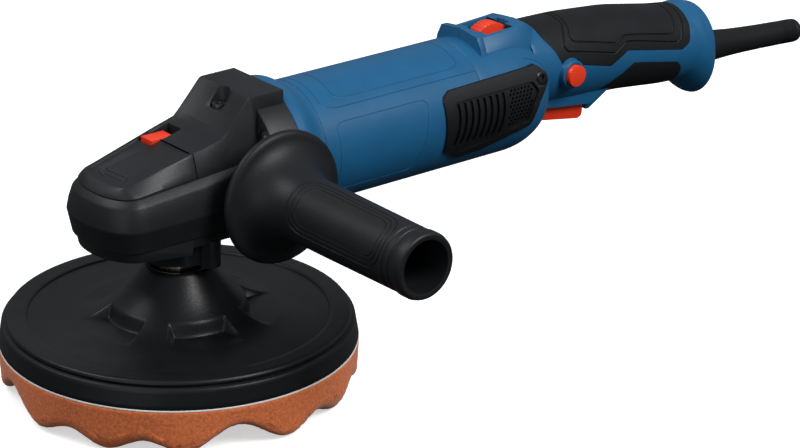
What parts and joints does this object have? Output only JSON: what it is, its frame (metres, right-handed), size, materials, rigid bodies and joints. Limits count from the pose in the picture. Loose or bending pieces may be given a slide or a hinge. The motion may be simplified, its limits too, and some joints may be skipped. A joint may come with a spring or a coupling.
{
  "type": "rotary polisher",
  "caption": "Corded rotary polisher: foam pad on a bevel-gear head, blue barrel motor housing, rubber rear grip with trigger and guard, speed dial and a flanged side handle",
  "frame": {"origin": "on the spindle axis, in the plane of the foam's working face", "axes": "+Z is the spindle axis and points up through the gear head, +X runs back along the motor to the rear grip, -Y points to the side handle"},
  "size_m": [0.5242, 0.2413, 0.1495],
  "materials": {
    "head_casting": "cast alloy with a black, slightly textured coat",
    "head_cover": "black plastic with a fine texture",
    "dark_screws": "blackened steel",
    "steel": "ground steel",
    "spring_steel": "drawn spring wire",
    "core_steel": "laminated steel",
    "gear_steel": "hardened gear steel",
    "seal_rubber": "black seal rubber",
    "bronze_bush": "sintered bronze",
    "housing_blue": "blue moulded plastic with a satin face",
    "inner_plastic": "dark moulded plastic",
    "copper": "varnished copper wire",
    "brass_holder": "pressed brass",
    "carbon": "pressed carbon",
    "grille_black": "black grille plastic",
    "grip_rubber": "soft black overmould",
    "board_green": "coated circuit board",
    "boot_rubber": "flexible black rubber",
    "handle_black": "black handle plastic with a fine texture",
    "collar_metal": "worn plated steel with a warm tint",
    "pad_rubber": "semi-stiff black moulded polyurethane",
    "hook_white": "white hook-and-loop layer",
    "foam_orange": "open-cell orange polishing foam",
    "fan_plastic": "pale moulded plastic",
    "accent_orange": "orange-red moulded plastic"
  },
  "bodies": {
    "housing": {"gear_housing": "head_casting", "head_front_cap": "head_cover", "head_rear_cover": "head_cover", "head_cover_screw": "dark_screws", "bearing_flange": "head_casting", "bearing_flange_screws": "steel", "lower_bearing_outer": "steel", "dust_seal": "seal_rubber", "upper_bush": "bronze_bush", "front_bearing_outer": "steel", "motor_housing": "housing_blue", "motor_housing_screws": "steel", "air_baffle": "inner_plastic", "stator_core": "core_steel", "field_coils": "copper", "brush_holders": "brass_holder", "carbon_brushes": "carbon", "brush_springs": "spring_steel", "rear_bearing_outer": "steel", "rear_housing_left": "housing_blue", "rear_housing_right": "housing_blue", "rear_housing_screws": "steel", "vent_grille_left": "grille_black", "vent_grille_right": "grille_black", "grille_screws": "dark_screws", "upper_grip": "grip_rubber", "lower_grip": "grip_rubber", "switch_body": "inner_plastic", "control_board": "board_green", "cord_boot": "boot_rubber", "side_handle_grip": "handle_black", "side_handle_stud": "steel", "lock_button_spring": "spring_steel", "lock_on_spring": "spring_steel"},
    "spindle": {"spindle_shaft": "steel", "crown_gear": "gear_steel", "spindle_collar": "collar_metal", "lower_bearing_inner": "steel", "lower_bearing_balls": "steel", "backing_pad": "pad_rubber", "pad_insert": "steel", "hook_layer": "hook_white", "foam_pad": "foam_orange"},
    "armature": {"armature_shaft": "steel", "bevel_pinion": "gear_steel", "front_bearing_inner": "steel", "rear_bearing_inner": "steel", "armature_bearing_balls": "steel", "cooling_fan": "fan_plastic", "armature_core": "core_steel", "armature_windings": "copper", "commutator": "copper"},
    "lock_button": {"spindle_lock_button": "accent_orange", "lock_pin": "steel"},
    "trigger": {"trigger": "accent_orange"},
    "lock_on_button": {"lock_on_button": "accent_orange"},
    "speed_dial": {"speed_dial": "accent_orange"},
    "switch_plunger": {"switch_plunger": "inner_plastic"}
  },
  "joints": [
    {"name": "spindle_spin", "type": "hinge", "parent": "housing", "child": "spindle", "pos_m": [0, 0, 0], "axis": [0, 0, 1], "continuous": true},
    {"name": "armature_spin", "type": "hinge", "parent": "housing", "child": "armature", "pos_m": [0, 0, 0.1106], "axis": [1, 0, 0], "continuous": true},
    {"name": "spindle_lock_press", "type": "slide", "parent": "housing", "child": "lock_button", "axis": [0, 0, -1], "range_m": [0, 0.004], "stiffness_N_per_m": 600, "springref_m": -0.002, "deforming": ["lock_button_spring"]},
    {"name": "trigger_pull", "type": "hinge", "parent": "housing", "child": "trigger", "pos_m": [0.227, 0, 0.1005], "axis": [0, -1, 0], "range_deg": [0, 6], "stiffness_Nm_per_rad": 3, "springref_deg": -2.86},
    {"name": "switch_plunger_rise", "type": "slide", "parent": "housing", "child": "switch_plunger", "axis": [0, 0, 1], "range_m": [0, 0.0026]},
    {"name": "lock_on_press", "type": "slide", "parent": "housing", "child": "lock_on_button", "axis": [0, 1, 0], "range_m": [0, 0.003], "stiffness_N_per_m": 500, "springref_m": -0.002},
    {"name": "speed_dial_turn", "type": "hinge", "parent": "housing", "child": "speed_dial", "pos_m": [0.2, 0, 0.1353], "axis": [0, 1, 0], "range_deg": [-140, 140]}
  ],
  "couplings": [
    {"joint": "armature_spin", "follows": "spindle_spin", "ratio": 4},
    {"joint": "switch_plunger_rise", "follows": "trigger_pull", "m_per_rad": 0.0235}
  ]
}
